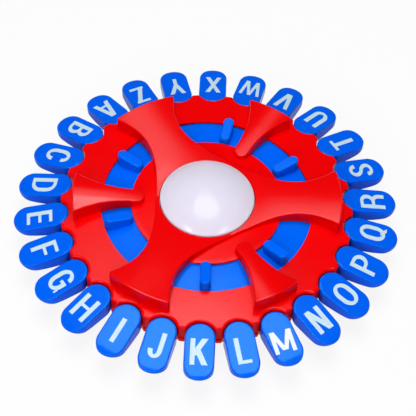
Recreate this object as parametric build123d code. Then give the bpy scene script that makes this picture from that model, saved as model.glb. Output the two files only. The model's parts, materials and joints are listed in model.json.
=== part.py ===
from build123d import *
from math import hypot, radians, sqrt, tan
import os

# Rotating word game board. All lengths in millimetres.
# Origin: on the table under the hub. +Z up. The key for the letter K points along -Y.

# ---------------------------------------------------------------- driving dimensions
LETTERS = "abcdefghijklmnopqrstuvwxyz"
KEY_PITCH = 360 / len(LETTERS)
SOUTH = 270.0                                    # direction of -Y, in degrees
KEY_A_ANGLE = SOUTH - LETTERS.index("k") * KEY_PITCH

# letter keys, along the radius r
KEY_TIP_R = 126.2
KEY_HEEL_R = 90.6
KEY_HALF_W = 9.5
LETTER_R = 109.0                                 # centre of the letter on the key's top
LETTER_Z = 26.0
KEY_TOP_SLOPE = 10.8                             # degrees, falling outwards
KEY_BOTTOM_Z = 17.2
KEY_BELLY_R = 108.0                              # the flat underside ends here
KEY_TIP_Z = 20.6                                 # underside at the tip
KEY_BELLY_MID = (118.4, 18.2)                    # radius and height halfway up the belly
KEY_WALL = 1.8
KEY_RIB = 1.6
KEY_EDGE_R = 1.0
TIP_BEND_RUN = 4.9                               # the top bends down towards the tip
TIP_BEND_DROP = 1.6
TOP_FACING = 0.5                                 # least rise of the normal of a face that counts as a top

# key levers
PIVOT_R = 80.0
PIVOT_Z = 17.0
PIN_R = 1.5
PIN_CLEAR = 0.05
PIN_REACH = 7.6                                  # half length over both pins
LEVER_HALF_W = 4.5
LEVER_BOSS_R = 3.0
LEVER_TOP_Z = 20.4
TAIL_R = 67.0
TAIL_TOP_Z = 19.5
TAIL_BOTTOM_Z = 17.0

# dome of the top cover
COVER_SPHERE_R = 607.0
COVER_APEX_Z = 35.98
COVER_WALL = 2.2
COVER_THIN_WALL = 1.4                            # over the reset ring
THIN_IN_R = 45.0
THIN_OUT_R = 74.5
RIM_R = 95.6
RIM_EDGE_R = 1.5
SHOULDER_SLOPE = 3.5                             # degrees, outside the windows
SCALLOP_GAP = 0.6                                # between a key's heel and the rim
CUSP_R = 1.6
LIP_Z = 15.0                                     # seam between cover and case
LIP_HEIGHT = 3.0
LIP_REACH = 0.8
LIP_SET_BACK = 0.3                               # of the lip's ends, at the scallops
WINDOW_IN_R = 49.4
WINDOW_OUT_R = 69.05

# raised star: hub, three arms, three fins
FIN_ANGLES = [62.25, 182.25, 302.25]
STAR_R = 87.4
STAR_WAIST = 33.5                                # hub edge on a fin's centre line
STAR_BOW_SPAN = 60.0
STAR_BOW = [(2, 4.8), (4, 14.0), (8, 5.4)]       # powers and heights of the edge between two arms
STAR_BOW_REACH = 64.0                            # the edge is drawn this far to either side
STAR_BOW_STEPS = 8
STAR_TOP = [(28.0, 36.6), (31.4, 36.95), (36.0, 37.6), (48.0, 38.95), (66.0, 40.25), (90.0, 41.6)]
STAR_WALL = 2.0
STAR_EDGE_R = 0.8
FIN_NECK_HALF_W = 5.0
FIN_NOSE_R = 40.8
FIN_FLARE_START = 48.0
FIN_FLARE_R = 68.6
FIN_FLARE_TURN = 40.0
STAR_CORNER_R = 1.2

# hub and start button
HUB_HOLE_R = 31.3
HUB_COLLAR_WALL = 2.0
HUB_COLLAR_Z = 31.0
DOME_R = 30.8
DOME_SPHERE_R = 50.7
DOME_EDGE_Z = 37.8
DOME_EDGE_R = 1.5
DOME_WALL = 1.8
DOME_FLANGE_R = 33.1
DOME_FLANGE_T = 1.6
PLUNGER_T = 1.6
PLUNGER_LEDGE = 0.8
PLUNGER_BOSS_R = 4.0
PLUNGER_GUIDE_T = 1.2
PLUNGER_GUIDE_H = 2.0
PLUNGER_FREE = 0.1
BUTTON_TRAVEL = 3.0

# reset ring
RING_BORE_R = 46.5
RING_CLEAR = 0.08
RING_OUT_R = 71.4
RING_GAP = 0.8                                   # under the cover
RING_WALL = 1.8
RING_COLLAR_WALL = 1.8
RING_SEAT_Z = 24.0
RING_REST_TURN = -KEY_PITCH / 2                  # tabs' middle, measured from a fin
SKIRT_IN_R = 68.0
SKIRT_OUT_R = 70.0
SKIRT_Z = 21.5
TOOTH_Z = 19.9
TOOTH_BASE = 6.0                                 # degrees
TOOTH_TIP = 2.0
TAB_SPREAD = 24.04                               # degrees either side of the tabs' middle
TAB_IN_R = 50.0
TAB_OUT_R = 68.5
TAB_WIDTH = 7.0
TAB_IN_Z = 37.9
TAB_OUT_Z = 40.1
TAB_EDGE_R = 1.2

# lower case
CASE_TOP_R = 93.6
CASE_FOOT_R = 82.0
CASE_SIDE_MID = (90.6, 6.6)                      # a point halfway up the bowl's side
CASE_FLOOR_Z = 1.2
CASE_WALL = 2.0
BEARING_IN_R = 77.2
BEARING_OUT_R = 82.8
BEARING_SLOT_Z = 12.0
BEARING_SLOT_HALF_W = 5.2
PIN_NOTCH_REACH = 7.9
TOWER_IN_R = 44.4
TOWER_STEP_R = 48.4
TOWER_TOP_Z = 30.0
FLANGE_IN_R = 86.5
FLANGE_T = 2.0

# screws
PILOT_R = 1.25
SCREW_HEAD_R = 2.8
SCREW_HEAD_H = 2.0
SCREW_LENGTH = 10.0
SCREW_BITE = 6.0                                 # length in the cover's boss
WELL_R = 3.1
WELL_WALL = 1.5
BOSS_R = 3.0
OUTER_BOSS_R = 74.8                              # circle of the outer screws
OUTER_BOSS_STEPS = [0, 4, 9, 13, 17, 22]         # which gaps between keys hold a screw
INNER_BOSS_R = 38.0
INNER_SEAM_Z = 26.0

# electronics
BOARD_X, BOARD_Y, BOARD_T = 44.0, 40.0, 1.6
BOARD_CENTRE_Y = 3.0
BOARD_Z = 17.0
BOARD_HOLE_X, BOARD_HOLE_Y = 18.5, 16.5
BOARD_POST_R = 2.6
BOARD_SCREW_R = 1.0
BOARD_SCREW_HEAD_R = 2.0
BOARD_SCREW_HEAD_H = 1.2
BOARD_SCREW_LENGTH = 4.0
BOARD_CORNER_R = 3.0
SWITCH_SIDE = 6.0
SWITCH_H = 3.5
SWITCH_CAP_R = 1.75
SWITCH_CAP_H = 1.0
SPRING_R = 9.0
SPRING_WIRE_R = 0.45
SPRING_TURNS = 4
BUZZER_R = 8.5
BUZZER_H = 5.0
BUZZER_Y = 33.0
SOUND_HOLE_R = 0.8
SOUND_CIRCLE_R = 4.5

# batteries
CELL_R = 5.2
CELL_LENGTH = 44.5
CELL_NUB_R = 1.9
CELL_NUB_H = 0.9
CELL_SPACING = 11.0
BAY_CENTRE_Y = -14.0
BAY_X, BAY_Y = 47.2, 22.6
BAY_WALL = 3.0
BAY_CEILING_Z = 13.8
BAY_ROOF = 1.4
CONTACT_T = 0.4
CONTACT_BUMP = 0.5
DOOR_T = 2.0
DOOR_LEDGE = 1.5
DOOR_GAP = 0.2
DOOR_TAB_X = 28.5
DOOR_TAB_R = 4.5
DOOR_SCREW_R = 1.2
DOOR_SCREW_HEAD_R = 2.3
DOOR_SCREW_HEAD_H = 1.2
DOOR_SCREW_LENGTH = 6.0
DOOR_HOOK_W = 6.0
DOOR_HOOK_T = 1.0
DOOR_HOOK_REACH = 1.2
DOOR_GRIP = (1.0, 14.0, 1.0)
DOOR_GRIP_STEP = 2.5

# feet
FOOT_R = 5.0
FOOT_CIRCLE_R = 72.0
FOOT_RECESS = 0.8
FOOT_COUNT = 6


# ---------------------------------------------------------------- shared shapes
def key_angles():
    """Direction of every key's centre line, from A to Z, counter-clockwise seen from above."""
    return [KEY_A_ANGLE + i * KEY_PITCH for i in range(len(LETTERS))]


def cusp_angle(step):
    """Direction midway between a key and the next one."""
    return KEY_A_ANGLE + (step + 0.5) * KEY_PITCH


def around(shape, angles):
    """Copies of a shape turned about the centre line."""
    return [Rot(Z=angle) * shape for angle in angles]


def tube(r_in, r_out, z_low, z_high):
    """Upright round wall."""
    ring = Circle(r_out) - Circle(r_in) if r_in else Circle(r_out)
    return Pos(Z=z_low) * extrude(ring, z_high - z_low)


def block(x, y, z):
    """Box from three (low, high) pairs."""
    sizes = [high - low for low, high in (x, y, z)]
    middle = [(low + high) / 2 for low, high in (x, y, z)]
    return Pos(*middle) * Box(*sizes)


def dome_z(r, depth=0.0):
    """Height of the cover's dome at radius r, on the sphere that lies depth under its surface."""
    return sqrt((COVER_SPHERE_R - depth) ** 2 - r ** 2) - COVER_SPHERE_R + COVER_APEX_Z


def dome_arc(r_from, r_to, depth):
    """The dome's section between two radii."""
    return ThreePointArc(*[(r, dome_z(r, depth)) for r in (r_from, (r_from + r_to) / 2, r_to)])


def cover_z(r, depth=0.0):
    """Height of the cover's top at radius r, less a depth: a dome with a flatter shoulder."""
    if r <= WINDOW_OUT_R:
        return dome_z(r, depth)
    return dome_z(WINDOW_OUT_R, depth) - (r - WINDOW_OUT_R) * tan(radians(SHOULDER_SLOPE))


def cover_section(r_from, r_to, depth):
    """The cover's section from the dome out to its shoulder."""
    dome = dome_arc(r_from, WINDOW_OUT_R, depth)
    return [dome, Line(dome @ 1, (r_to, cover_z(r_to, depth)))]


def turned(edges):
    """Solid of revolution about Z from a closed outline of (radius, height)."""
    return revolve(Plane.XZ * make_face(edges), Axis.Z)


def dome_band(r_in, r_out, depth_top, depth_low):
    """Ring of the dome, between two depths under its surface."""
    top = dome_arc(r_in, r_out, depth_top)
    low = dome_arc(r_out, r_in, depth_low)
    return turned([top, Line(top @ 1, low @ 0), low, Line(low @ 1, top @ 0)])


def under_cover(r_out, depth, floor_z):
    """Everything below the cover's surface, at a depth, down to a level floor."""
    dome, shoulder = cover_section(0, r_out, depth)
    sides = Polyline(shoulder @ 1, (r_out, floor_z), (0, floor_z), dome @ 0)
    return turned([dome, shoulder, *sides.edges()])


# ---------------------------------------------------------------- letter keys
def key_top_z(r):
    """Height of a key's sloping top at radius r."""
    return LETTER_Z - (r - LETTER_R) * tan(radians(KEY_TOP_SLOPE))


def key_head():
    """The blade that carries the letter: round ends, a sloping top bent down at the tip, a rising belly."""
    bend_r = KEY_TIP_R - TIP_BEND_RUN
    bend_z = key_top_z(bend_r)
    tip = (KEY_TIP_R, bend_z - TIP_BEND_DROP)
    flat = Polyline(
        (KEY_HEEL_R, KEY_BOTTOM_Z),
        (KEY_HEEL_R, key_top_z(KEY_HEEL_R)),
        (bend_r, bend_z),
    )
    bend = TangentArc((bend_r, bend_z), tip, tangent=(1, -tan(radians(KEY_TOP_SLOPE))))
    belly = ThreePointArc((KEY_TIP_R, KEY_TIP_Z), KEY_BELLY_MID, (KEY_BELLY_R, KEY_BOTTOM_Z))
    front, bottom = Line(tip, belly @ 0), Line(belly @ 1, flat @ 0)
    side = make_face([*flat.edges(), bend, front, belly, bottom])
    blade = extrude(Plane.XZ * side, 2 * KEY_HALF_W, both=True) & extrude(key_plan(0), 2 * LETTER_Z)
    tops = blade.faces().filter_by(lambda face: face.normal_at().Z > TOP_FACING)
    rounded = [edge for edge in tops.edges() if abs(edge.center().X - bend_r) > KEY_EDGE_R]
    return fillet(rounded, KEY_EDGE_R)


def key_plan(inset):
    """The key's outline from above."""
    length = KEY_TIP_R - KEY_HEEL_R - 2 * inset
    return Pos((KEY_TIP_R + KEY_HEEL_R) / 2, 0) * SlotOverall(length, 2 * (KEY_HALF_W - inset))


def key_hollow():
    """Space inside the blade, open below, with a rib down the middle."""
    inner = KEY_TIP_R - TIP_BEND_RUN
    roof = Polyline(
        (KEY_HEEL_R, 0),
        (KEY_HEEL_R, key_top_z(KEY_HEEL_R) - KEY_WALL),
        (inner, key_top_z(inner) - KEY_WALL),
        (inner, 0),
        close=True,
    )
    space = extrude(Plane.XZ * make_face(roof), KEY_HALF_W, both=True)
    space &= extrude(key_plan(KEY_WALL), 2 * LETTER_Z)
    rib = block((KEY_HEEL_R, KEY_TIP_R), (-KEY_RIB / 2, KEY_RIB / 2), (0, 2 * LETTER_Z))
    return space - rib


def key_lever():
    """Tongue from the heel to the tail, with a boss and two pins on the pivot line."""
    root_r = KEY_HEEL_R + KEY_WALL + KEY_EDGE_R
    outline = Polyline(
        (root_r, KEY_BOTTOM_Z),
        (TAIL_R, TAIL_BOTTOM_Z),
        (TAIL_R, TAIL_TOP_Z),
        (PIVOT_R - LEVER_BOSS_R, LEVER_TOP_Z),
        (root_r, LEVER_TOP_Z),
        close=True,
    )
    tongue = extrude(Plane.XZ * make_face(outline), LEVER_HALF_W, both=True)
    boss = Plane.XZ * Pos(PIVOT_R, PIVOT_Z) * Circle(LEVER_BOSS_R)
    pins = Plane.XZ * Pos(PIVOT_R, PIVOT_Z) * Circle(PIN_R)
    return tongue + extrude(boss, LEVER_HALF_W, both=True) + extrude(pins, PIN_REACH, both=True)


def letter_key():
    """One key, lying along +X."""
    return key_head() - key_hollow() + key_lever()


# ---------------------------------------------------------------- top cover
def rim_plan(inset, reach=0.0):
    """Scalloped outline of the rim: a circle bitten by the heels of the keys."""
    bite_r = KEY_HALF_W + SCALLOP_GAP + inset
    bite = Pos(KEY_HEEL_R + KEY_HALF_W, 0) * Circle(bite_r)
    plan = Circle(RIM_R - inset + reach) - around(bite, key_angles())
    return fillet(plan.vertices(), CUSP_R)


def bow_point(y, inset):
    """Point of the bowed edge between two arms, moved inwards by inset."""
    part = y / STAR_BOW_SPAN
    x = STAR_WAIST + sum(height * part ** power for power, height in STAR_BOW)
    slope = sum(power * height * part ** (power - 1) for power, height in STAR_BOW) / STAR_BOW_SPAN
    shift = inset / hypot(1, slope)
    return x - shift, y + slope * shift


def star_plan(inset=0.0):
    """Hub with three arms: the edge between two arms is one long bow."""
    step_y = STAR_BOW_REACH / STAR_BOW_STEPS
    steps = range(-STAR_BOW_STEPS, STAR_BOW_STEPS + 1)
    bow = Spline(*[bow_point(step_y * step, inset) for step in steps])
    bows = around(bow, FIN_ANGLES)
    ends = [Line(bow @ 1, after @ 0) for bow, after in zip(bows, bows[1:] + bows[:1])]
    star = make_face(bows + ends) & Rot(Z=FIN_ANGLES[0]) * Circle(STAR_R - inset)
    return fillet(star.vertices(), STAR_CORNER_R)


def fin_plan(inset=0.0):
    """One fin along +X: round nose, straight neck, flared end."""
    half_w = FIN_NECK_HALF_W - inset
    nose_x = FIN_NOSE_R + FIN_NECK_HALF_W
    nose = ThreePointArc((nose_x, -half_w), (FIN_NOSE_R + inset, 0), (nose_x, half_w))
    neck = Line((nose_x, half_w), (FIN_FLARE_START, half_w))
    flare_centre = (FIN_FLARE_START, FIN_NECK_HALF_W + FIN_FLARE_R)
    flare = CenterArc(flare_centre, FIN_FLARE_R + inset, -90, FIN_FLARE_TURN)
    flare_back = mirror(flare, Plane.XZ)
    end = Line(flare @ 1, flare_back @ 1)
    fin = make_face([nose, neck, flare, end, flare_back, mirror(neck, Plane.XZ)])
    fin &= Rot(Z=180) * Circle(STAR_R - inset)
    corners = fin.vertices().sort_by(Axis.X)[-2:]
    return fillet(corners, STAR_CORNER_R)


def under_star(r_in, r_out, wall, depth):
    """Space between the dome and the raised top, wall thick less at the top."""
    top = Spline(*[(r, z - wall) for r, z in STAR_TOP])
    dome, shoulder = cover_section(STAR_TOP[0][0], STAR_TOP[-1][0], depth)
    solid = turned([top, Line(top @ 1, shoulder @ 1), shoulder, dome, Line(dome @ 0, top @ 0)])
    return solid & tube(r_in, r_out, 0, 2 * COVER_APEX_Z)


def raised_star():
    """Solid arms, fins and hub, from under the dome to their rounded top edges."""
    plan = star_plan() + around(fin_plan(), FIN_ANGLES)
    star = extrude(plan, 2 * COVER_APEX_Z) & under_star(0, STAR_TOP[-1][0], 0, COVER_THIN_WALL)
    top_faces = star.faces().filter_by(GeomType.REVOLUTION)
    return fillet(top_faces.edges(), STAR_EDGE_R)


def star_hollow():
    """Space inside the arms and fins, open below, with the bearing wall left standing in it."""
    plan = star_plan(STAR_WALL) + around(fin_plan(STAR_WALL), FIN_ANGLES)
    roof = under_star(HUB_HOLE_R + 2 * HUB_COLLAR_WALL, STAR_TOP[-1][0], STAR_WALL, 3 * COVER_WALL)
    room = extrude(plan, 2 * COVER_APEX_Z) & roof
    return room - tube(BEARING_IN_R, BEARING_OUT_R, 0, 2 * COVER_APEX_Z)


def bearing_wall(z_low, z_high, slot_low, slot_high):
    """Half of the wall that holds the keys' pins, cut away where the levers swing."""
    wall = tube(BEARING_IN_R, BEARING_OUT_R, z_low, z_high)
    slot_y = (-BEARING_SLOT_HALF_W, BEARING_SLOT_HALF_W)
    slot = block((BEARING_IN_R - 1, BEARING_OUT_R + 1), slot_y, (slot_low, slot_high))
    seat = Plane.XZ * Pos(PIVOT_R, PIVOT_Z) * Circle(PIN_R + PIN_CLEAR)
    slot += extrude(seat, PIN_NOTCH_REACH, both=True)
    return wall - around(slot, key_angles())


def rim_shell():
    """Dome, shoulder and scalloped side wall of the cover, hollow below, with the lip at the seam."""
    outside = under_cover(RIM_R + 2, 0, LIP_Z) & extrude(rim_plan(0), 2 * COVER_APEX_Z)
    rim_edges = outside.faces().filter_by(GeomType.CONE).edges()
    outside = fillet([edge for edge in rim_edges if not edge.is_closed], RIM_EDGE_R)
    lip = extrude(rim_plan(LIP_SET_BACK, LIP_SET_BACK + LIP_REACH), LIP_HEIGHT)
    outside += Pos(Z=LIP_Z) * lip
    room = under_cover(RIM_R, COVER_WALL, 0) & extrude(rim_plan(COVER_WALL), 2 * COVER_APEX_Z)
    return outside - room - dome_band(THIN_IN_R, THIN_OUT_R, COVER_THIN_WALL, 2 * COVER_WALL)


def windows():
    """Ring cut through the dome: the arms and fins bridge it."""
    return tube(WINDOW_IN_R, WINDOW_OUT_R, 0, 2 * COVER_APEX_Z)


def lever_doors():
    """Openings in the rim, one behind each key, open at the seam."""
    door_y = (-BEARING_SLOT_HALF_W, BEARING_SLOT_HALF_W)
    door = block((BEARING_OUT_R, RIM_R + 2), door_y, (0, LEVER_TOP_Z + SCALLOP_GAP))
    return around(door, key_angles())


def screw_places(seam_outer, seam_inner):
    """Places of the case screws, on the seams of their bosses."""
    outer = [Rot(Z=cusp_angle(step)) * Pos(OUTER_BOSS_R, 0, seam_outer) for step in OUTER_BOSS_STEPS]
    inner = [Rot(Z=angle) * Pos(INNER_BOSS_R, 0, seam_inner) for angle in FIN_ANGLES]
    return outer + inner


def cover_bosses():
    """Screw posts under the dome, and their pilot holes."""
    posts, pilots = [], []
    for place in screw_places(PIVOT_Z, INNER_SEAM_Z):
        seat = place.position
        height = cover_z(hypot(seat.X, seat.Y), COVER_WALL / 2) - seat.Z
        posts.append(place * tube(0, BOSS_R, 0, height))
        pilots.append(place * tube(0, PILOT_R, 0, SCREW_BITE + 1))
    return posts, pilots


def top_cover():
    """Red moulding seen from above."""
    collar_r = HUB_HOLE_R + HUB_COLLAR_WALL
    collar = tube(HUB_HOLE_R, collar_r, HUB_COLLAR_Z, dome_z(collar_r, COVER_WALL / 2))
    ceiling = cover_z(BEARING_OUT_R, COVER_WALL / 2)
    bearings = bearing_wall(PIVOT_Z, ceiling, PIVOT_Z - 1, ceiling + COVER_WALL)
    hub = tube(0, HUB_HOLE_R, 0, 2 * COVER_APEX_Z)
    posts, pilots = cover_bosses()
    cover = rim_shell() - windows() + raised_star() - [star_hollow(), hub]
    cover += [collar, bearings, *posts]
    return cover - [*lever_doors(), *pilots]


# ---------------------------------------------------------------- reset ring
def ring_tooth():
    """Wedge under the skirt that passes over a key's tail when the ring turns."""
    half_base = SKIRT_OUT_R * tan(radians(TOOTH_BASE / 2))
    half_tip = SKIRT_OUT_R * tan(radians(TOOTH_TIP / 2))
    wedge = Polyline(
        (-half_base, SKIRT_Z),
        (-half_tip, TOOTH_Z),
        (half_tip, TOOTH_Z),
        (half_base, SKIRT_Z),
        close=True,
    )
    bar = extrude(Plane.YZ * make_face(wedge), SKIRT_OUT_R + 1)
    return bar & tube(SKIRT_IN_R, SKIRT_OUT_R, TOOTH_Z, SKIRT_Z)


def finger_tab():
    """Upright bar on the ring, along +X, with round ends and a rounded top."""
    half_w = TAB_WIDTH / 2
    plan = Pos((TAB_IN_R + TAB_OUT_R) / 2, 0) * SlotOverall(TAB_OUT_R - TAB_IN_R, TAB_WIDTH)
    foot = RING_GAP + COVER_THIN_WALL + RING_WALL / 2
    outline = Polyline(
        (TAB_IN_R, dome_z(TAB_IN_R, foot)),
        (TAB_IN_R, TAB_IN_Z),
        (TAB_OUT_R, TAB_OUT_Z),
        (TAB_OUT_R, dome_z(TAB_OUT_R, foot)),
        close=True,
    )
    bar = extrude(plan, 2 * COVER_APEX_Z) & extrude(Plane.XZ * make_face(outline), half_w, both=True)
    top = bar.faces().sort_by(Axis.Z)[-1]
    return fillet(top.edges(), TAB_EDGE_R)


def tab_angles():
    """Directions of the six finger tabs, a pair for every fin."""
    middles = [fin + RING_REST_TURN for fin in FIN_ANGLES]
    return [middle + side * TAB_SPREAD for middle in middles for side in (-1, 1)]


def reset_ring():
    """Domed ring under the windows, with its collar, toothed skirt and finger tabs."""
    depth = COVER_THIN_WALL + RING_GAP
    ring = dome_band(RING_BORE_R, RING_OUT_R, depth, depth + RING_WALL)
    plate_low = depth + RING_WALL / 2
    collar_r = RING_BORE_R + RING_COLLAR_WALL
    ring += tube(RING_BORE_R, collar_r, RING_SEAT_Z, dome_z(collar_r, plate_low))
    ring += tube(SKIRT_IN_R, SKIRT_OUT_R, SKIRT_Z, dome_z(SKIRT_OUT_R, plate_low))
    ring += around(ring_tooth(), [cusp_angle(step) for step in range(len(LETTERS))])
    ring += around(finger_tab(), tab_angles())
    return ring


# ---------------------------------------------------------------- start button
def dome_button():
    """Translucent dome with a skirt that slides in the hub and a flange that holds it in."""
    apex_z = DOME_EDGE_Z + DOME_SPHERE_R - sqrt(DOME_SPHERE_R ** 2 - DOME_R ** 2)
    centre_z = apex_z - DOME_SPHERE_R
    ball = Pos(Z=centre_z) * Sphere(DOME_SPHERE_R)
    hollow = Pos(Z=centre_z) * Sphere(DOME_SPHERE_R - DOME_WALL)
    flange_low = HUB_COLLAR_Z - DOME_FLANGE_T
    outside = tube(0, DOME_R, flange_low, apex_z + 1) & ball
    rim = outside.edges().filter_by(lambda edge: edge.is_closed).sort_by(Axis.Z)[-1]
    outside = fillet(rim, DOME_EDGE_R) + tube(0, DOME_FLANGE_R, flange_low, HUB_COLLAR_Z)
    skirt_r = DOME_R - DOME_WALL
    room = tube(0, skirt_r - PLUNGER_LEDGE, flange_low, apex_z) & hollow
    seat = tube(0, skirt_r, flange_low, flange_low + PLUNGER_T)
    return outside - room - seat


def button_plunger():
    """Disc inside the dome: a boss for the switch and a rib that centres the spring."""
    low = HUB_COLLAR_Z - DOME_FLANGE_T
    disc = tube(0, DOME_R - DOME_WALL - RING_CLEAR, low, low + PLUNGER_T)
    boss = tube(0, PLUNGER_BOSS_R, switch_top() + BUTTON_TRAVEL + PLUNGER_FREE, low)
    guide_out = SPRING_R - SPRING_WIRE_R - PLUNGER_FREE
    return disc + boss + tube(guide_out - PLUNGER_GUIDE_T, guide_out, low - PLUNGER_GUIDE_H, low)


def switch_top():
    """Height of the switch's own cap."""
    return BOARD_Z + BOARD_T + SWITCH_H + SWITCH_CAP_H


def button_spring():
    """Coil between the board and the plunger."""
    low = BOARD_Z + BOARD_T + SPRING_WIRE_R
    height = HUB_COLLAR_Z - DOME_FLANGE_T - SPRING_WIRE_R - low
    path = Helix(height / SPRING_TURNS, height, SPRING_R)
    section = Plane(path @ 0, z_dir=path % 0) * Circle(SPRING_WIRE_R)
    return Pos(Z=low) * sweep(section, path)


# ---------------------------------------------------------------- electronics
def board_places():
    """The four screw places on the board."""
    ys = (BOARD_CENTRE_Y - BOARD_HOLE_Y, BOARD_CENTRE_Y + BOARD_HOLE_Y)
    return [Pos(x, y) for x in (-BOARD_HOLE_X, BOARD_HOLE_X) for y in ys]


def timer_board():
    """Circuit board with rounded corners and four holes."""
    plan = Pos(0, BOARD_CENTRE_Y) * RectangleRounded(BOARD_X, BOARD_Y, BOARD_CORNER_R)
    holes = [place * Circle(BOARD_SCREW_R + PIN_CLEAR) for place in board_places()]
    return Pos(Z=BOARD_Z) * extrude(plan - holes, BOARD_T)


def start_switch():
    """Tact switch in the middle of the board."""
    seat = BOARD_Z + BOARD_T
    half = SWITCH_SIDE / 2
    body = block((-half, half), (-half, half), (seat, seat + SWITCH_H))
    return body + tube(0, SWITCH_CAP_R, seat + SWITCH_H, switch_top())


def buzzer():
    """Round sounder over the sound holes."""
    floor = CASE_FLOOR_Z + CASE_WALL
    can = tube(0, BUZZER_R, floor, floor + BUZZER_H) - tube(0, SOUND_HOLE_R, floor, floor + BUZZER_H / 2)
    return Pos(0, BUZZER_Y) * can


# ---------------------------------------------------------------- batteries
def cell_axis_z():
    """Height of the cells' axes: they rest on the door."""
    return CASE_FLOOR_Z + DOOR_T + CELL_R


def battery(side):
    """Cell lying along X, its nub at +X for side 1 and at -X for side -1."""
    can = extrude(Plane.YZ * Circle(CELL_R), CELL_LENGTH)
    nub = extrude(Plane.YZ * Circle(CELL_NUB_R), CELL_LENGTH + CELL_NUB_H)
    cell = Pos(-(CELL_LENGTH + CELL_NUB_H) / 2, 0, 0) * (can + nub)
    heading = Rot(Z=0 if side > 0 else 180)
    return Pos(0, BAY_CENTRE_Y + side * CELL_SPACING / 2, cell_axis_z()) * heading * cell


def contact_plate(turn, sides):
    """Sprung plate at one end of the bay, with a bump for each cell that it touches."""
    wall_x = BAY_X / 2
    ys = [side * CELL_SPACING / 2 for side in sides]
    reach = CELL_R - PLUNGER_FREE
    y_range = (min(ys) - reach, max(ys) + reach)
    floor = CASE_FLOOR_Z + DOOR_T
    plate = block((wall_x - CONTACT_T, wall_x), y_range, (floor, BAY_CEILING_Z - PLUNGER_FREE))
    bump = extrude(Plane.YZ * Circle(CELL_NUB_R), CONTACT_BUMP)
    bump_x = wall_x - CONTACT_T - CONTACT_BUMP
    plate += [Pos(bump_x, y, cell_axis_z()) * bump for y in ys]
    return Pos(0, BAY_CENTRE_Y) * Rot(Z=turn) * plate


def battery_contacts():
    """One bridge at +X, two separate plates at -X."""
    bridge = contact_plate(0, (-1, 1))
    return Compound(children=[bridge, contact_plate(180, (-1,)), contact_plate(180, (1,))])


def door_plan(gap):
    """Outline of the battery door: a rectangle with a round screw tab on its +X side."""
    wide = BAY_X + 2 * DOOR_LEDGE - 2 * gap
    deep = BAY_Y + 2 * DOOR_LEDGE - 2 * gap
    tab = Circle(DOOR_TAB_R - gap) + Pos(-DOOR_TAB_R, 0) * Rectangle(2 * DOOR_TAB_R, 2 * (DOOR_TAB_R - gap))
    return Pos(0, BAY_CENTRE_Y) * (Rectangle(wide, deep) + Pos(DOOR_TAB_X, 0) * tab)


def door_hooks(gap):
    """Two flat tongues on the door's -X edge, under the edge of the case."""
    edge_x = -(BAY_X / 2 + DOOR_LEDGE)
    z_top = CASE_FLOOR_Z + DOOR_T + gap
    z_range = (z_top - DOOR_HOOK_T - 2 * gap, z_top)
    hooks = []
    for side in (-1, 1):
        middle = BAY_CENTRE_Y + side * BAY_Y / 4
        y_range = (middle - DOOR_HOOK_W / 2 - gap, middle + DOOR_HOOK_W / 2 + gap)
        hooks.append(block((edge_x - DOOR_HOOK_REACH - gap, edge_x + 1), y_range, z_range))
    return hooks


def battery_door():
    """Flat door, flush with the floor of the case."""
    door = Pos(Z=CASE_FLOOR_Z) * extrude(door_plan(DOOR_GAP), DOOR_T) + door_hooks(0)
    hole = Pos(DOOR_TAB_X, BAY_CENTRE_Y)
    door -= hole * tube(0, DOOR_SCREW_R + PIN_CLEAR, 0, BAY_CEILING_Z)
    grip = Pos(0, BAY_CENTRE_Y, CASE_FLOOR_Z) * Box(*DOOR_GRIP)
    grips = [Pos(X=step * DOOR_GRIP_STEP) * grip for step in (-1, 0, 1)]
    return door - hole * tube(0, DOOR_SCREW_HEAD_R + PIN_CLEAR, 0, CASE_FLOOR_Z + DOOR_SCREW_HEAD_H) - grips


# ---------------------------------------------------------------- fasteners
def pan_screw(head_r, head_h, shank_r, length):
    """Screw standing on its head's seat: head below, shank upwards, cross recess in the head."""
    head = tube(0, head_r, -head_h, 0)
    slot = Pos(Z=-head_h) * (Box(head_r, head_r / 4, head_h) + Box(head_r / 4, head_r, head_h))
    return head + tube(0, shank_r, 0, length) - slot


def case_screws():
    """Nine long screws, put in from below."""
    screw = pan_screw(SCREW_HEAD_R, SCREW_HEAD_H, PILOT_R, SCREW_LENGTH)
    below = SCREW_LENGTH - SCREW_BITE
    return Compound(children=[place * screw for place in screw_places(PIVOT_Z - below, INNER_SEAM_Z - below)])


def board_screws():
    """Four short screws, heads on the board."""
    screw = Rot(X=180) * pan_screw(BOARD_SCREW_HEAD_R, BOARD_SCREW_HEAD_H, BOARD_SCREW_R, BOARD_SCREW_LENGTH)
    return Compound(children=[Pos(Z=BOARD_Z + BOARD_T) * place * screw for place in board_places()])


def battery_door_screw():
    """Screw of the battery door, head sunk in the door's tab."""
    screw = pan_screw(DOOR_SCREW_HEAD_R, DOOR_SCREW_HEAD_H, DOOR_SCREW_R, DOOR_SCREW_LENGTH)
    return Pos(DOOR_TAB_X, BAY_CENTRE_Y, CASE_FLOOR_Z + DOOR_SCREW_HEAD_H) * screw


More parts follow.
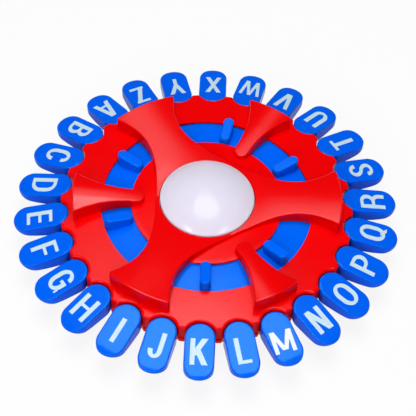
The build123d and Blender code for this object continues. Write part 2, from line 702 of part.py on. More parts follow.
# ---------------------------------------------------------------- bottom case
def case_bowl():
    """Bowl with a flat floor, a curved side and an inward flange at the seam."""
    side = ThreePointArc((CASE_FOOT_R, CASE_FLOOR_Z), CASE_SIDE_MID, (CASE_TOP_R, LIP_Z))
    outline = Polyline((CASE_TOP_R, LIP_Z), (0, LIP_Z), (0, CASE_FLOOR_Z), (CASE_FOOT_R, CASE_FLOOR_Z))
    outside = turned([side, *outline.edges()])
    in_side = ThreePointArc(
        (CASE_FOOT_R - CASE_WALL / 2, CASE_FLOOR_Z + CASE_WALL),
        (CASE_SIDE_MID[0] - CASE_WALL, CASE_SIDE_MID[1] + CASE_WALL / 2),
        (CASE_TOP_R - CASE_WALL, LIP_Z - FLANGE_T),
    )
    in_outline = Polyline(
        in_side @ 1,
        (FLANGE_IN_R, LIP_Z - FLANGE_T),
        (FLANGE_IN_R, LIP_Z),
        (0, LIP_Z),
        (0, CASE_FLOOR_Z + CASE_WALL),
        in_side @ 0,
    )
    return outside - turned([in_side, *in_outline.edges()])


def case_bosses():
    """Screw posts of the case and the wells that reach them from below."""
    below = SCREW_LENGTH - SCREW_BITE
    posts, wells = [], []
    for place in screw_places(PIVOT_Z, INNER_SEAM_Z):
        seat = place.position.Z - below
        foot = Pos(place.position.X, place.position.Y)
        posts.append(foot * tube(0, BOSS_R, CASE_FLOOR_Z, place.position.Z))
        posts.append(foot * tube(0, WELL_R + WELL_WALL, CASE_FLOOR_Z, seat + WELL_WALL))
        wells.append(foot * tube(0, WELL_R, 0, seat))
        wells.append(foot * tube(0, PILOT_R, 0, place.position.Z))
    return posts, wells


def battery_bay():
    """Box for the cells under the board, open below, with the rebate for its door."""
    half_x, half_y = BAY_X / 2, BAY_Y / 2
    near, far = BAY_CENTRE_Y - half_y, BAY_CENTRE_Y + half_y
    out_x = (-half_x - BAY_WALL, half_x + BAY_WALL)
    box = block(out_x, (near - BAY_WALL, far + BAY_WALL), (CASE_FLOOR_Z, BAY_CEILING_Z + BAY_ROOF))
    tab_post = Pos(DOOR_TAB_X, BAY_CENTRE_Y) * tube(0, DOOR_TAB_R + WELL_WALL, CASE_FLOOR_Z, BAY_CEILING_Z)
    space = block((-half_x, half_x), (near, far), (0, BAY_CEILING_Z))
    rebate = extrude(door_plan(0), CASE_FLOOR_Z + DOOR_T)
    screw_z = CASE_FLOOR_Z + DOOR_SCREW_HEAD_H + DOOR_SCREW_LENGTH
    pilot = Pos(DOOR_TAB_X, BAY_CENTRE_Y) * tube(0, DOOR_SCREW_R, 0, screw_z)
    return box + tab_post, [space, rebate, pilot, *door_hooks(DOOR_GAP)]


def sound_holes():
    """Seven holes under the buzzer."""
    hole = tube(0, SOUND_HOLE_R, 0, CASE_FLOOR_Z + CASE_WALL)
    ring = [Rot(Z=60 * step) * Pos(SOUND_CIRCLE_R, 0) * hole for step in range(6)]
    return [Pos(0, BUZZER_Y) * each for each in [hole, *ring]]


def foot_places():
    """Places of the feet, midway between the outer screws."""
    turns = [cusp_angle(step) for step in OUTER_BOSS_STEPS]
    return [Rot(Z=turn + 180 / FOOT_COUNT) * Pos(FOOT_CIRCLE_R, 0) for turn in turns]


def bottom_case():
    """Red moulding that carries everything."""
    floor_top = CASE_FLOOR_Z + CASE_WALL
    case = case_bowl()
    case += bearing_wall(CASE_FLOOR_Z, PIVOT_Z, BEARING_SLOT_Z, PIVOT_Z + 1)
    case += tube(TOWER_IN_R, TOWER_STEP_R, CASE_FLOOR_Z, RING_SEAT_Z)
    case += tube(TOWER_IN_R, RING_BORE_R - RING_CLEAR, CASE_FLOOR_Z, TOWER_TOP_Z)
    posts, wells = case_bosses()
    bay, bay_cuts = battery_bay()
    case += [*posts, bay]
    cradle = tube(BUZZER_R + DOOR_GAP, BUZZER_R + CASE_WALL, CASE_FLOOR_Z, floor_top + BUZZER_H / 2)
    case += Pos(0, BUZZER_Y) * cradle
    case += [place * tube(0, BOARD_POST_R, floor_top, BOARD_Z) for place in board_places()]
    pilot = tube(0, BOARD_SCREW_R, BOARD_Z + BOARD_T - BOARD_SCREW_LENGTH, BOARD_Z)
    recess = tube(0, FOOT_R, 0, CASE_FLOOR_Z + FOOT_RECESS)
    pilots = [place * pilot for place in board_places()]
    recesses = [place * recess for place in foot_places()]
    return case - [*wells, *bay_cuts, *pilots, *recesses, *sound_holes()]


def rubber_feet():
    """Six round pads in recesses of the floor."""
    pad = tube(0, FOOT_R, 0, CASE_FLOOR_Z + FOOT_RECESS)
    return Compound(children=[place * pad for place in foot_places()])


# ---------------------------------------------------------------- all pieces
def pieces():
    """Every node's name and shape."""
    nodes = {
        "top_cover": top_cover(),
        "bottom_case": bottom_case(),
        "reset_ring": reset_ring(),
        "dome_button": dome_button(),
        "button_plunger": button_plunger(),
        "button_spring": button_spring(),
        "timer_board": timer_board(),
        "start_switch": start_switch(),
        "buzzer": buzzer(),
        "battery_1": battery(1),
        "battery_2": battery(-1),
        "battery_contacts": battery_contacts(),
        "battery_door": battery_door(),
        "battery_door_screw": battery_door_screw(),
        "case_screws": case_screws(),
        "board_screws": board_screws(),
        "rubber_feet": rubber_feet(),
    }
    key = letter_key()
    for letter, angle in zip(LETTERS, key_angles()):
        nodes[f"key_{letter}"] = Rot(Z=angle) * key
    return nodes


os.makedirs("parts", exist_ok=True)
for name, shape in pieces().items():
    export_step(shape, f"parts/{name}.step")
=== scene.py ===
"""Looks, letters and studio for the rotating word game board, around its CAD frame."""
import json
import math

import bmesh
import bpy
from mathutils import Matrix, Vector


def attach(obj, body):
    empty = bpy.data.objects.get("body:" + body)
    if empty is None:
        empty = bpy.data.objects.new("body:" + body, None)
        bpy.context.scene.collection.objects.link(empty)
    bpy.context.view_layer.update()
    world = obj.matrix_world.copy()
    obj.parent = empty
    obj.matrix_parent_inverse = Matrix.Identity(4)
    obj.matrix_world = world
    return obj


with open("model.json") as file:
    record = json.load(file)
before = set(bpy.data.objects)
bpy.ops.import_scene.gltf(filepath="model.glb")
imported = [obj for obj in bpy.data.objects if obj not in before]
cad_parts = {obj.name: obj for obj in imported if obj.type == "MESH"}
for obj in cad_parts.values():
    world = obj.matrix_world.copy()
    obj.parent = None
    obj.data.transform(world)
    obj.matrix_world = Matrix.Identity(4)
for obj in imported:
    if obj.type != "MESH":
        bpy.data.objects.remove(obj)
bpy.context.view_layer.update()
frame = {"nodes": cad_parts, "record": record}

MM = 0.001
IMAGE = 416                                   # pixels across the picture
LETTERS = "abcdefghijklmnopqrstuvwxyz"
KEY_PITCH = 360 / len(LETTERS)
KEY_A_ANGLE = 270 - LETTERS.index("k") * KEY_PITCH

# the middle of a key's top and the ink's reach below and above it, in mm
LETTER_R = 109.0
LETTER_Z = 26.0
KEY_TOP_SLOPE = math.radians(10.8)
INK_LOW = -0.10
INK_HIGH = 0.10

# strokes of the letters, in mm
CAP = 17.0
STEM = 3.0                                    # width of an upright
BAR = 2.2                                     # height of a level stroke
FLARE = 3.6                                   # level width of a slanting stroke
LINE = CAP / 2 - BAR / 2                      # middle of a level stroke at the top
ROUND_LINE = LINE + 0.15                      # round letters reach a little further
TURN_STEPS = 8                                # straight pieces in a round corner
SAME_POINT = 0.01

# each letter's own place on its key, in mm to the reader's right and towards the hub
LETTER_SHIFTS = {
    "a": (0.65, 0.65), "b": (0.35, 0.35), "c": (0.3, 0.65), "d": (0.6, 0.1), "e": (1.1, -0.1),
    "f": (0.75, -0.4), "g": (0.5, 0.4), "i": (0.25, 0), "j": (-0.15, 0), "k": (-0.25, -0.1),
    "l": (0.15, -0.8), "m": (-0.8, -2.0), "n": (0.25, -0.6), "o": (0.2, -0.3), "p": (0.45, -0.5),
    "q": (0.1, -0.3), "r": (-0.5, -1.0), "s": (-0.25, -0.5), "t": (-0.6, -0.7), "u": (-0.25, -1.1),
    "v": (0, -0.6), "w": (-0.4, -1.75), "x": (-0.25, 0.35), "y": (-0.25, 0.65), "z": (0.25, 0.9),
}
LETTER_HEIGHTS = {"m": 0.86, "w": 0.92}       # share of the full height
LETTER_TURNS = {"m": math.radians(-7)}        # the M stands askew on its key

# colours, and the tint of their gleam
RED = (0.90, 0.0, 0.001)
RED_GLEAM = (1.0, 0.92, 0.95)
BLUE = (0.0, 0.125, 0.93)
RING_BLUE = (0.0, 0.138, 0.99)
BLUE_GLEAM = (0.25, 1.0, 1.0)
MILKY = (0.80, 0.765, 0.90)
MILKY_SHADE = (0.775, 0.74, 0.88)
INK = (0.60, 0.785, 0.87)
WHITE_INK = (0.88, 0.91, 0.94)

# gloss: index of refraction, and the shader's specular level, where 0.5 is the full gloss
GLOSS_IOR = 1.36                              # cover, case and keys
RING_IOR = 1.22
FULL_GLOSS = 0.5
WALL_GLOSS = 0.12                             # upright walls, straight from the mould
WALL_UP, TOP_UP = 0.3, 0.8                    # upward part of the normal on a wall and on a top
STAR_GLOSS = 0.62                             # arms and fins, polished brightest
INNER_FLOOR_GLOSS = 0.16                      # floor inside the ring slot, moulded duller
INNER_FLOOR_R = 0.0475                        # where that floor ends, in metres
RIM_GLOSS = 0.45                              # rim, as a share of the way from floor to star
BUMP_REACH = 0.0001

# crown across the tops of the arms and fins, in radians of tilt per metre from the middle line
ARM_CROWN = 7.5
FIN_CROWN = 20.0
ARM_PITCH = 120                               # degrees between arms
FIN_PITCH = 60                                # degrees between an arm and a fin
FIN_START_R = 0.0395                          # a fin's nose, in metres from the middle
FIN_START_ANGLE = math.radians(38)            # and its edge, from the nearest arm's middle line
STAR_TOP_LOW = 0.0350                         # height of the crowned tops at the middle
STAR_TOP_RISE = 0.0625                        # and its rise per metre outwards

# stage
FLOOR_HALF = 4.0
FLOOR_WHITE = 0.88                            # share of plain white in the floor as it is seen
WALL_LOW, WALL_HIGH = 0.35, 0.04              # light of the studio wall at the floor and above
WALL_LOW_TO, WALL_HIGH_FROM = 3, 12           # degrees up where it starts and ends fading
PATCH_WAY = (101, 64)                         # azimuth and elevation of the soft patch, in degrees
PATCH_CORE, PATCH_EDGE = 4, 14                # degrees from its middle
PATCH_GLOW = 2.2
LIT_HEIGHT = 0.04                             # the lamps aim at the middle, this high
LAMP_DISTANCE = 1.25
LAMPS = (                                     # name, azimuth, elevation, width, height, glow
    ("overhead", 90, 86, 37.2, 37.2, 6.4),
    ("front_fill", 255, 30, 56, 26, 3.1),
    ("front_left", 225, 51, 18, 3.5, 14),
    ("front_right", 315, 51, 18, 3.5, 14),
)


# ---------------------------------------------------------------- materials
def node(tree, kind, **values):
    """New shader node with values set on its sockets or attributes."""
    made = tree.nodes.new(kind)
    for name, value in values.items():
        if name in made.inputs:
            made.inputs[name].default_value = value
        else:
            setattr(made, name, value)
    return made


def new_material(name):
    """Empty node material with its Principled shader."""
    material = bpy.data.materials.new(name)
    material.use_nodes = True
    tree = material.node_tree
    return material, tree, tree.nodes["Principled BSDF"]


def object_noise(tree, scale, detail=4.0, rough=0.5):
    """Noise in object space, with scale in features per metre."""
    where = node(tree, "ShaderNodeTexCoord")
    noise = node(tree, "ShaderNodeTexNoise", Scale=scale, Detail=detail, Roughness=rough)
    tree.links.new(where.outputs["Object"], noise.inputs["Vector"])
    return noise.outputs["Fac"]


def mapped(tree, source, low, high, start=0.3, stop=0.7):
    """Source stretched from start..stop to low..high."""
    ramp = node(tree, "ShaderNodeMapRange")
    ramp.inputs["From Min"].default_value = start
    ramp.inputs["From Max"].default_value = stop
    ramp.inputs["To Min"].default_value = low
    ramp.inputs["To Max"].default_value = high
    tree.links.new(source, ramp.inputs["Value"])
    return ramp.outputs["Result"]


def mixed(tree, factor, first, second):
    """Colour between first and second."""
    mix = node(tree, "ShaderNodeMix", data_type="RGBA")
    tree.links.new(factor, mix.inputs["Factor"])
    colours = [socket for socket in mix.inputs if socket.type == "RGBA"]
    for socket, colour in zip(colours, (first, second)):
        socket.default_value = (*colour, 1)
    return [out for out in mix.outputs if out.type == "RGBA"][0]


def bumped(tree, shader, height, strength, distance):
    """Bump on the shader from a height."""
    bump = node(tree, "ShaderNodeBump", Strength=strength, Distance=distance)
    tree.links.new(height, bump.inputs["Height"])
    tree.links.new(bump.outputs["Normal"], shader.inputs["Normal"])


def scuffs(tree, along, across):
    """Mask of short, faint hairlines, longer along X than across."""
    where = node(tree, "ShaderNodeTexCoord")
    stretch = node(tree, "ShaderNodeMapping")
    stretch.inputs["Scale"].default_value = (along, across, across)
    stretch.inputs["Rotation"].default_value = (0, 0, 0.6)
    tree.links.new(where.outputs["Object"], stretch.inputs["Vector"])
    noise = node(tree, "ShaderNodeTexNoise", Scale=1.0, Detail=2.0)
    tree.links.new(stretch.outputs["Vector"], noise.inputs["Vector"])
    return noise.outputs["Fac"]


def maths(tree, operation, first, second=None, third=None):
    """Output of a Math node; the inputs are sockets or numbers."""
    made = node(tree, "ShaderNodeMath", operation=operation)
    for socket, value in zip(made.inputs, (first, second, third)):
        if isinstance(value, bpy.types.NodeSocket):
            tree.links.new(value, socket)
        elif value is not None:
            socket.default_value = value
    return made.outputs[0]


def polar(tree, x, y):
    """Angle and radius about the upright axis."""
    squares = [maths(tree, "MULTIPLY", side, side) for side in (x, y)]
    return maths(tree, "ARCTAN2", y, x), maths(tree, "SQRT", maths(tree, "ADD", *squares))


def crown_height(tree, angle, radius, pitch, crown):
    """Angle from the nearest of the middle lines, and the height of a crown across it."""
    half = math.radians(pitch / 2)
    local = maths(tree, "WRAP", angle, half, -half)
    aside = maths(tree, "MULTIPLY", radius, maths(tree, "SINE", local))
    return local, maths(tree, "MULTIPLY", maths(tree, "MULTIPLY", aside, aside), -crown / 2)


def crown_tops(tree, shader):
    """Soft crown on every arm and fin over the finer bump, and gloss that differs by zone."""
    where = node(tree, "ShaderNodeTexCoord")
    parts = node(tree, "ShaderNodeSeparateXYZ")
    tree.links.new(where.outputs["Object"], parts.inputs[0])
    x, y, z = parts.outputs
    angle, radius = polar(tree, x, y)
    arm_angle, arm_height = crown_height(tree, angle, radius, ARM_PITCH, ARM_CROWN)
    _, fin_height = crown_height(tree, angle, radius, FIN_PITCH, FIN_CROWN)
    beside = maths(tree, "GREATER_THAN", maths(tree, "ABSOLUTE", arm_angle), FIN_START_ANGLE)
    outside = maths(tree, "GREATER_THAN", radius, FIN_START_R)
    on_fin = maths(tree, "MULTIPLY", beside, outside)
    change = maths(tree, "MULTIPLY", on_fin, maths(tree, "SUBTRACT", fin_height, arm_height))
    height = maths(tree, "ADD", arm_height, change)
    floor = maths(tree, "MULTIPLY_ADD", radius, STAR_TOP_RISE, STAR_TOP_LOW)
    raised = mapped(tree, maths(tree, "SUBTRACT", z, floor), 0.0, 1.0, -MM, 0.0)
    bump = node(tree, "ShaderNodeBump", Distance=1.0)
    tree.links.new(raised, bump.inputs["Strength"])
    tree.links.new(height, bump.inputs["Height"])
    finer = shader.inputs["Normal"].links[0].from_socket
    tree.links.new(finer, bump.inputs["Normal"])
    tree.links.new(bump.outputs["Normal"], shader.inputs["Normal"])
    beyond = mapped(tree, radius, 0.0, 1.0, INNER_FLOOR_R - MM, INNER_FLOOR_R)
    zone = maths(tree, "MAXIMUM", raised, maths(tree, "MULTIPLY", beyond, RIM_GLOSS))
    gloss = mapped(tree, zone, INNER_FLOOR_GLOSS, STAR_GLOSS, 0.0, 1.0)
    level = shader.inputs["Specular IOR Level"]
    both = maths(tree, "MULTIPLY", gloss, level.links[0].from_socket)
    tree.links.new(maths(tree, "MULTIPLY", both, 1 / FULL_GLOSS), level)


def plastic(name, colour, gleam, ior, rough=(0.13, 0.18), shade=0.97):
    """Glossy moulded plastic: slow colour drift, uneven polish, hairlines, duller walls."""
    material, tree, shader = new_material(name)
    drift = mapped(tree, object_noise(tree, 30, 3), 0, 1)
    darker = tuple(part * shade for part in colour)
    tree.links.new(mixed(tree, drift, colour, darker), shader.inputs["Base Color"])
    polish = mapped(tree, object_noise(tree, 140, 6, 0.6), *rough)
    hairs = mapped(tree, scuffs(tree, 60, 1800), 0, 0.02, 0.5, 0.8)
    tree.links.new(maths(tree, "ADD", polish, hairs), shader.inputs["Roughness"])
    bumped(tree, shader, object_noise(tree, 700, 3), 0.04, BUMP_REACH)
    shader.inputs["IOR"].default_value = ior
    shader.inputs["Specular Tint"].default_value = (*gleam, 1)
    surface = node(tree, "ShaderNodeNewGeometry")
    facing = node(tree, "ShaderNodeSeparateXYZ")
    tree.links.new(surface.outputs["Normal"], facing.inputs[0])
    polished = mapped(tree, facing.outputs["Z"], WALL_GLOSS, FULL_GLOSS, WALL_UP, TOP_UP)
    tree.links.new(polished, shader.inputs["Specular IOR Level"])
    return material


def crowned_plastic(name):
    """Red plastic of the cover, whose arms and fins are softly crowned."""
    material = plastic(name, RED, RED_GLEAM, GLOSS_IOR)
    tree = material.node_tree
    crown_tops(tree, tree.nodes["Principled BSDF"])
    return material


def milky_plastic(name):
    """Milky plastic of the dome: light goes a little way in, a clear gloss on top."""
    material, tree, shader = new_material(name)
    drift = mapped(tree, object_noise(tree, 40, 3), 0, 1)
    tree.links.new(mixed(tree, drift, MILKY, MILKY_SHADE), shader.inputs["Base Color"])
    polish = mapped(tree, object_noise(tree, 180, 5), 0.015, 0.03)
    tree.links.new(polish, shader.inputs["Roughness"])
    bumped(tree, shader, object_noise(tree, 300, 2), 0.005, BUMP_REACH)
    shader.inputs["Subsurface Weight"].default_value = 0.15
    shader.inputs["Subsurface Radius"].default_value = (1.0, 0.8, 0.85)
    shader.inputs["Subsurface Scale"].default_value = 0.002
    shader.inputs["Specular IOR Level"].default_value = 0.21
    return material


def plain(name, colour, low, high, metallic=0.0, bump=0.05, shade=0.85):
    """Everyday finish for the inner pieces, its roughness from low to high."""
    material, tree, shader = new_material(name)
    drift = mapped(tree, object_noise(tree, 120, 4), 0, 1)
    darker = tuple(part * shade for part in colour)
    tree.links.new(mixed(tree, drift, colour, darker), shader.inputs["Base Color"])
    tree.links.new(mapped(tree, object_noise(tree, 400, 5), low, high), shader.inputs["Roughness"])
    bumped(tree, shader, object_noise(tree, 1500, 3), bump, BUMP_REACH)
    shader.inputs["Metallic"].default_value = metallic
    return material


def print_ink(name, colour):
    """Ink of the letters, a little uneven in cover and sheen."""
    material, tree, shader = new_material(name)
    cover = mapped(tree, object_noise(tree, 260, 5), 0, 1)
    thinner = (colour[0] * 0.92, colour[1] * 0.96, colour[2] * 0.98)
    tree.links.new(mixed(tree, cover, colour, thinner), shader.inputs["Base Color"])
    tree.links.new(mapped(tree, object_noise(tree, 600, 5), 0.35, 0.5), shader.inputs["Roughness"])
    bumped(tree, shader, object_noise(tree, 2500, 3), 0.06, BUMP_REACH / 2)
    shader.inputs["Specular IOR Level"].default_value = 0.3
    return material


FINISHES = {
    "red_plastic": plastic("red_gloss_plastic", RED, RED_GLEAM, GLOSS_IOR),
    "blue_key_plastic": plastic("blue_key_gloss_plastic", BLUE, BLUE_GLEAM, GLOSS_IOR),
    "blue_ring_plastic": plastic("blue_ring_gloss_plastic", RING_BLUE, BLUE_GLEAM, RING_IOR),
    "milky_dome_plastic": milky_plastic("milky_dome_plastic"),
    "white_inner_plastic": plain("white_inner_plastic", (0.75, 0.75, 0.72), 0.4, 0.55),
    "spring_steel": plain("spring_steel", (0.55, 0.55, 0.57), 0.2, 0.35, metallic=1.0),
    "circuit_board": plain("green_circuit_board", (0.02, 0.16, 0.06), 0.3, 0.45),
    "black_switch_plastic": plain("black_switch_plastic", (0.02, 0.02, 0.02), 0.35, 0.5),
    "black_buzzer_plastic": plain("black_buzzer_plastic", (0.025, 0.025, 0.025), 0.45, 0.6),
    "cell_wrapper": plain("grey_cell_wrapper", (0.08, 0.08, 0.09), 0.25, 0.35),
    "contact_steel": plain("contact_steel", (0.7, 0.7, 0.7), 0.15, 0.3, metallic=1.0),
    "screw_steel": plain("screw_steel", (0.5, 0.5, 0.5), 0.3, 0.45, metallic=1.0),
    "foot_rubber": plain("black_foot_rubber", (0.02, 0.02, 0.02), 0.7, 0.85, bump=0.2),
}


def dress_nodes():
    """Puts the finishes on the carried-over nodes."""
    slots = {part["node"]: part["material_slot"] for part in frame["record"]["subparts"]}
    for name, shown in frame["nodes"].items():
        for place in shown.material_slots:
            place.material = FINISHES[slots[name]]
    for place in frame["nodes"]["top_cover"].material_slots:
        place.material = crowned_plastic("red_cover_gloss_plastic")


# ---------------------------------------------------------------- letters
def slant(foot, head, low=-CAP / 2, high=CAP / 2, width=FLARE):
    """Straight stroke between two level cuts, from foot to head."""
    return [((foot - width / 2, low), (foot + width / 2, low)),
            ((head - width / 2, high), (head + width / 2, high))], False


def stem(x, low=-CAP / 2, high=CAP / 2, width=STEM):
    """Upright stroke."""
    return slant(x, x, low, high, width)


def bar(left, right, y, height=BAR):
    """Level stroke."""
    return [((left, y + height / 2), (left, y - height / 2)),
            ((right, y + height / 2), (right, y - height / 2))], False


def rounded(corners, radius, closed):
    """Points along a path whose corners are elliptical turns."""
    corners = [Vector(corner) for corner in corners]
    last = len(corners) - 1
    points = []
    for index, corner in enumerate(corners):
        if not closed and index in (0, last):
            points.append(corner)
            continue
        legs = []
        for other in (index - 1, (index + 1) % len(corners)):
            leg = corners[other] - corner
            room = leg.length if not closed and other in (0, last) else leg.length / 2
            legs.append(leg.normalized() * min(radius, room))
        for step in range(TURN_STEPS + 1):
            turn = math.pi / 2 * step / TURN_STEPS
            point = corner + legs[0] * (1 - math.sin(turn)) + legs[1] * (1 - math.cos(turn))
            if not points or (point - points[-1]).length > SAME_POINT:
                points.append(point)
    if closed and (points[0] - points[-1]).length < SAME_POINT:
        points.pop()
    return points


def pen(corners, radius, closed=False):
    """Stroke of an oval pen, STEM wide and BAR high, along a path with round turns."""
    path = [Vector((p.x / STEM, p.y / BAR)) for p in rounded(corners, radius, closed)]
    pairs = []
    for index, point in enumerate(path):
        before = path[index - 1] if closed or index else point
        after = path[(index + 1) % len(path)] if closed or index < len(path) - 1 else point
        run = (after - before).normalized()
        side = Vector((-run.y, run.x)) / 2
        pairs.append([((point + way).x * STEM, (point + way).y * BAR) for way in (side, -side)])
    return pairs, closed


def oval(half_width):
    """Closed round-cornered loop of the O and Q."""
    x = half_width - STEM / 2
    y = ROUND_LINE
    return pen([(-x, -y), (x, -y), (x, y), (-x, y)], 5.6, True)


def bowl(left, right, low, high, radius=5.0):
    """Open bowl to the right of a stem."""
    x = right - STEM / 2
    return pen([(left, low), (x, low), (x, high), (left, high)], radius)


def letter_strokes():
    """Strokes of every capital, each centred on its own box."""
    arch = ROUND_LINE
    edge = CAP / 2
    return {
        "a": [slant(-4.4, -0.4, width=3.0), slant(4.4, 0.4, width=3.0), bar(-3.0, 3.0, -3.9, 1.9)],
        "b": [stem(-3.7), bowl(-3.0, 4.5, 0.35, LINE, 4.0), bowl(-3.0, 5.2, -LINE, 0.35, 4.2)],
        "c": [pen([(3.8, 3.3), (3.8, arch), (-3.8, arch), (-3.8, -arch), (3.8, -arch),
                   (3.8, -3.3)], 5.4)],
        "d": [stem(-4.1), bowl(-3.0, 5.6, -LINE, LINE, 5.2)],
        "e": [stem(-3.1), bar(-3.0, 4.6, LINE), bar(-3.0, 4.2, 0.2, 2.0), bar(-3.0, 4.6, -LINE)],
        "f": [stem(-3.1), bar(-3.0, 4.6, LINE), bar(-3.0, 4.1, -0.1, 2.0)],
        "g": [pen([(3.9, 3.3), (3.9, arch), (-3.9, arch), (-3.9, -arch), (3.9, -arch),
                   (3.9, -0.4)], 5.4),
              bar(0.4, 5.4, -0.2), stem(4.75, -edge, -5.5, 1.3)],
        "h": [stem(-4.2), stem(4.2), bar(-3.0, 3.0, 0.6, 2.0)],
        "i": [stem(0, width=3.1)],
        "j": [pen([(2.9, edge), (2.9, -arch), (-3.0, -arch), (-3.0, -2.9)], 4.4)],
        "k": [stem(-4.0), slant(-3.4, 3.5, -2.4, width=3.9), slant(3.7, -1.4, high=2.2, width=3.8)],
        "l": [stem(-2.9), bar(-3.0, 4.4, -LINE)],
        "m": [stem(-5.7, width=2.6), stem(5.7, width=2.6),
              slant(-0.4, -5.3, -6.4, width=2.9), slant(0.4, 5.3, -6.4, width=2.9)],
        "n": [stem(-3.8), stem(3.8), slant(3.5, -3.5, width=3.5)],
        "o": [oval(5.8)],
        "p": [stem(-4.0), bowl(-3.0, 5.4, -0.9, LINE, 4.2)],
        "q": [oval(5.6), slant(4.3, 0.9, -9.4, -5.4, 3.0)],
        "r": [stem(-4.3), bowl(-3.0, 5.2, -0.6, LINE, 4.0),
              pen([(0.0, -0.6), (4.2, -0.9), (4.3, -edge)], 3.6)],
        "s": [pen([(3.6, 3.7), (3.6, arch), (-3.5, arch), (-3.5, 1.2), (3.7, -1.3), (3.7, -arch),
                   (-3.7, -arch), (-3.7, -3.7)], 3.9)],
        "t": [stem(0), bar(-4.6, 4.6, LINE)],
        "u": [pen([(-3.7, edge), (-3.7, -arch), (3.7, -arch), (3.7, edge)], 4.6)],
        "v": [slant(-0.5, -3.9, width=2.9), slant(0.5, 3.9, width=2.9)],
        "w": [slant(-3.6, -6.1, width=2.2), slant(-3.4, -0.1, width=2.1),
              slant(3.4, 0.1, width=2.1), slant(3.6, 6.1, width=2.2)],
        "x": [slant(-4.0, 3.8, width=3.0), slant(4.0, -3.8, width=3.0)],
        "y": [stem(0, high=0.2, width=2.6), slant(-0.1, -4.1, -1.6, width=3.0),
              slant(0.1, 4.1, -1.6, width=3.0)],
        "z": [bar(-4.8, 4.8, LINE), bar(-4.9, 4.9, -LINE), slant(-3.0, 2.9, -LINE, LINE, 3.3)],
    }


def key_frame(index):
    """Placement on a key in mm: X to the reader's right, Y towards the hub, Z out of the top."""
    angle = math.radians(KEY_A_ANGLE + index * KEY_PITCH)
    out = Vector((math.cos(angle), math.sin(angle), 0))
    right = Vector((-math.sin(angle), math.cos(angle), 0))
    up = -(out * math.cos(KEY_TOP_SLOPE) - Vector((0, 0, math.sin(KEY_TOP_SLOPE))))
    place = (out * LETTER_R + Vector((0, 0, LETTER_Z))) * MM
    turn = Matrix((right, up, right.cross(up))).transposed().to_4x4()
    return Matrix.Translation(place) @ turn @ Matrix.Scale(MM, 4)


def slab(strokes):
    """Closed thin mesh of strokes, which may overlap."""
    mesh = bmesh.new()
    for pairs, closed in strokes:
        rings = []
        for left, right in pairs:
            corners = (left, INK_LOW), (right, INK_LOW), (right, INK_HIGH), (left, INK_HIGH)
            rings.append([mesh.verts.new((*side, z)) for side, z in corners])
        for index in range(len(rings) if closed else len(rings) - 1):
            here, there = rings[index], rings[(index + 1) % len(rings)]
            for side in range(4):
                after = (side + 1) % 4
                mesh.faces.new((here[side], there[side], there[after], here[after]))
        if not closed:
            mesh.faces.new(rings[0])
            mesh.faces.new(rings[-1][::-1])
    bmesh.ops.recalc_face_normals(mesh, faces=mesh.faces)
    made = bpy.data.meshes.new("slab")
    mesh.to_mesh(made)
    mesh.free()
    return made


def linked(name, data):
    """Object with a mesh, lamp or camera, in the scene."""
    made = bpy.data.objects.new(name, data)
    bpy.context.scene.collection.objects.link(made)
    return made


def joined(strokes):
    """One clean solid of the strokes, merged where they cross."""
    whole = slab(strokes[:1])
    for stroke in strokes[1:]:
        base, tool = linked("base", whole), linked("tool", slab([stroke]))
        merge = base.modifiers.new("merge", "BOOLEAN")
        merge.operation = "UNION"
        merge.solver = "EXACT"
        merge.object = tool
        bpy.context.view_layer.update()
        merged = base.evaluated_get(bpy.context.evaluated_depsgraph_get())
        whole = bpy.data.meshes.new_from_object(merged)
        bpy.data.objects.remove(base)
        bpy.data.objects.remove(tool)
    return whole


def letter_place(letter):
    """Where and how a letter stands in its key's frame."""
    shift = Matrix.Translation((*LETTER_SHIFTS.get(letter, (0, 0)), 0))
    turn = Matrix.Rotation(LETTER_TURNS.get(letter, 0), 4, "Z")
    return shift @ turn @ Matrix.Diagonal((1, LETTER_HEIGHTS.get(letter, 1), 1, 1))


def add_letters():
    """A printed letter on every key."""
    inks = {"m": print_ink("white_letter_ink", WHITE_INK)}
    pale = print_ink("pale_letter_ink", INK)
    strokes = letter_strokes()
    for index, letter in enumerate(LETTERS):
        mesh = joined(strokes[letter])
        mesh.transform(key_frame(index) @ letter_place(letter))
        mesh.materials.clear()
        mesh.materials.append(inks.get(letter, pale))
        piece = linked(f"letter_{letter}", mesh)
        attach(piece, f"key_{letter}_body")


# ---------------------------------------------------------------- stage
def white_floor():
    """Pale floor that shows white and keeps the object's shadow."""
    material, tree, shader = new_material("pale_floor")
    tree.links.new(mapped(tree, object_noise(tree, 3, 2), 0.55, 0.6), shader.inputs["Roughness"])
    shader.inputs["Base Color"].default_value = (0.9, 0.9, 0.9, 1)
    shader.inputs["Specular IOR Level"].default_value = 0.1
    glow = node(tree, "ShaderNodeEmission", Strength=1.0)
    path = node(tree, "ShaderNodeLightPath")
    seen = path.outputs["Is Camera Ray"]
    for ray in ("Is Glossy Ray", "Is Transmission Ray"):
        seen = maths(tree, "MAXIMUM", seen, path.outputs[ray])
    blend = node(tree, "ShaderNodeMixShader")
    tree.links.new(maths(tree, "MULTIPLY", seen, FLOOR_WHITE), blend.inputs["Fac"])
    tree.links.new(shader.outputs["BSDF"], blend.inputs[1])
    tree.links.new(glow.outputs["Emission"], blend.inputs[2])
    tree.links.new(blend.outputs["Shader"], tree.nodes["Material Output"].inputs["Surface"])
    return material


def build_floor():
    """Square floor at the object's base."""
    corners = [(x * FLOOR_HALF, y * FLOOR_HALF, 0) for x, y in ((-1, -1), (1, -1), (1, 1), (-1, 1))]
    mesh = bpy.data.meshes.new("floor")
    mesh.from_pydata(corners, [], [(0, 1, 2, 3)])
    mesh.materials.append(white_floor())
    linked("floor", mesh)


def direction(azimuth, elevation):
    """Unit vector towards an azimuth and elevation in degrees."""
    around, rise = math.radians(azimuth), math.radians(elevation)
    level = math.cos(rise)
    return Vector((math.cos(around) * level, math.sin(around) * level, math.sin(rise)))


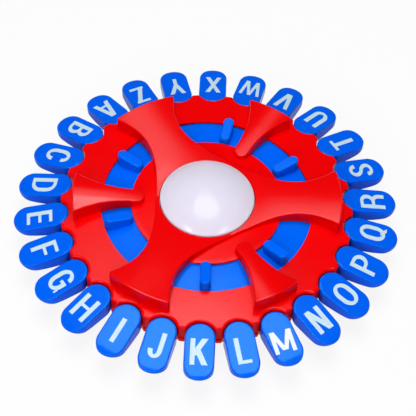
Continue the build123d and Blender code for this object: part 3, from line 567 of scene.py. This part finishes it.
def build_world():
    """Studio wall, pale low down and dim above, with one soft patch of light high behind."""
    world = bpy.data.worlds.new("studio")
    world.use_nodes = True
    bpy.context.scene.world = world
    tree = world.node_tree
    light = tree.nodes["Background"]
    light.inputs["Color"].default_value = (1, 1, 1, 1)
    where = node(tree, "ShaderNodeTexCoord")
    parts = node(tree, "ShaderNodeSeparateXYZ")
    tree.links.new(where.outputs["Generated"], parts.inputs[0])
    fade = [math.sin(math.radians(rise)) for rise in (WALL_LOW_TO, WALL_HIGH_FROM)]
    wall = mapped(tree, parts.outputs["Z"], WALL_LOW, WALL_HIGH, *fade)
    glow = node(tree, "ShaderNodeVectorMath", operation="DOT_PRODUCT")
    glow.inputs[1].default_value = direction(*PATCH_WAY)
    tree.links.new(where.outputs["Generated"], glow.inputs[0])
    soft = node(tree, "ShaderNodeMapRange", interpolation_type="SMOOTHSTEP")
    tree.links.new(glow.outputs["Value"], soft.inputs["Value"])
    soft.inputs["From Min"].default_value = math.cos(math.radians(PATCH_EDGE))
    soft.inputs["From Max"].default_value = math.cos(math.radians(PATCH_CORE))
    soft.inputs["To Max"].default_value = PATCH_GLOW
    tree.links.new(maths(tree, "ADD", wall, soft.outputs["Result"]), light.inputs["Strength"])


def build_lights():
    """Oval softboxes: sizes in degrees as seen, glow in radiance, where lit white paper is 1."""
    for name, azimuth, elevation, width, height, glow in LAMPS:
        lamp = bpy.data.lights.new(name, "AREA")
        lamp.shape = "ELLIPSE"
        lamp.size = 2 * LAMP_DISTANCE * math.tan(math.radians(width / 2))
        lamp.size_y = 2 * LAMP_DISTANCE * math.tan(math.radians(height / 2))
        lamp.energy = glow * math.pi * math.pi / 4 * lamp.size * lamp.size_y
        way = direction(azimuth, elevation)
        place = Matrix.Translation(Vector((0, 0, LIT_HEIGHT)) + way * LAMP_DISTANCE)
        turn = (-way).to_track_quat("-Z", "Y").to_matrix().to_4x4()
        linked(name, lamp).matrix_world = place @ turn


def build_camera():
    """Camera in front, 53 degrees up and turned a little about its own axis, as in the photo."""
    focal_pixels = 1350.3
    shift_pixels = 1.29, 0.22
    distance = 0.88616
    rise = math.radians(53.208)
    tilt = math.radians(2.906)
    back = Vector((0, -math.cos(rise), math.sin(rise)))
    right = Vector((1, 0, 0))
    up = back.cross(right)
    tilted_right = right * math.cos(tilt) + up * math.sin(tilt)
    tilted_up = up * math.cos(tilt) - right * math.sin(tilt)
    data = bpy.data.cameras.new("camera")
    data.sensor_width = 36
    data.lens = data.sensor_width * focal_pixels / IMAGE
    data.shift_x, data.shift_y = (shift / IMAGE for shift in shift_pixels)
    turn = Matrix((tilted_right, tilted_up, back)).transposed().to_4x4()
    camera = linked("camera", data)
    camera.matrix_world = Matrix.Translation(Vector((0, 0, LETTER_Z * MM)) + back * distance) @ turn
    bpy.context.scene.camera = camera


build_camera()
dress_nodes()
add_letters()
build_floor()
build_world()
build_lights()
bpy.context.scene.view_settings.view_transform = "Standard"
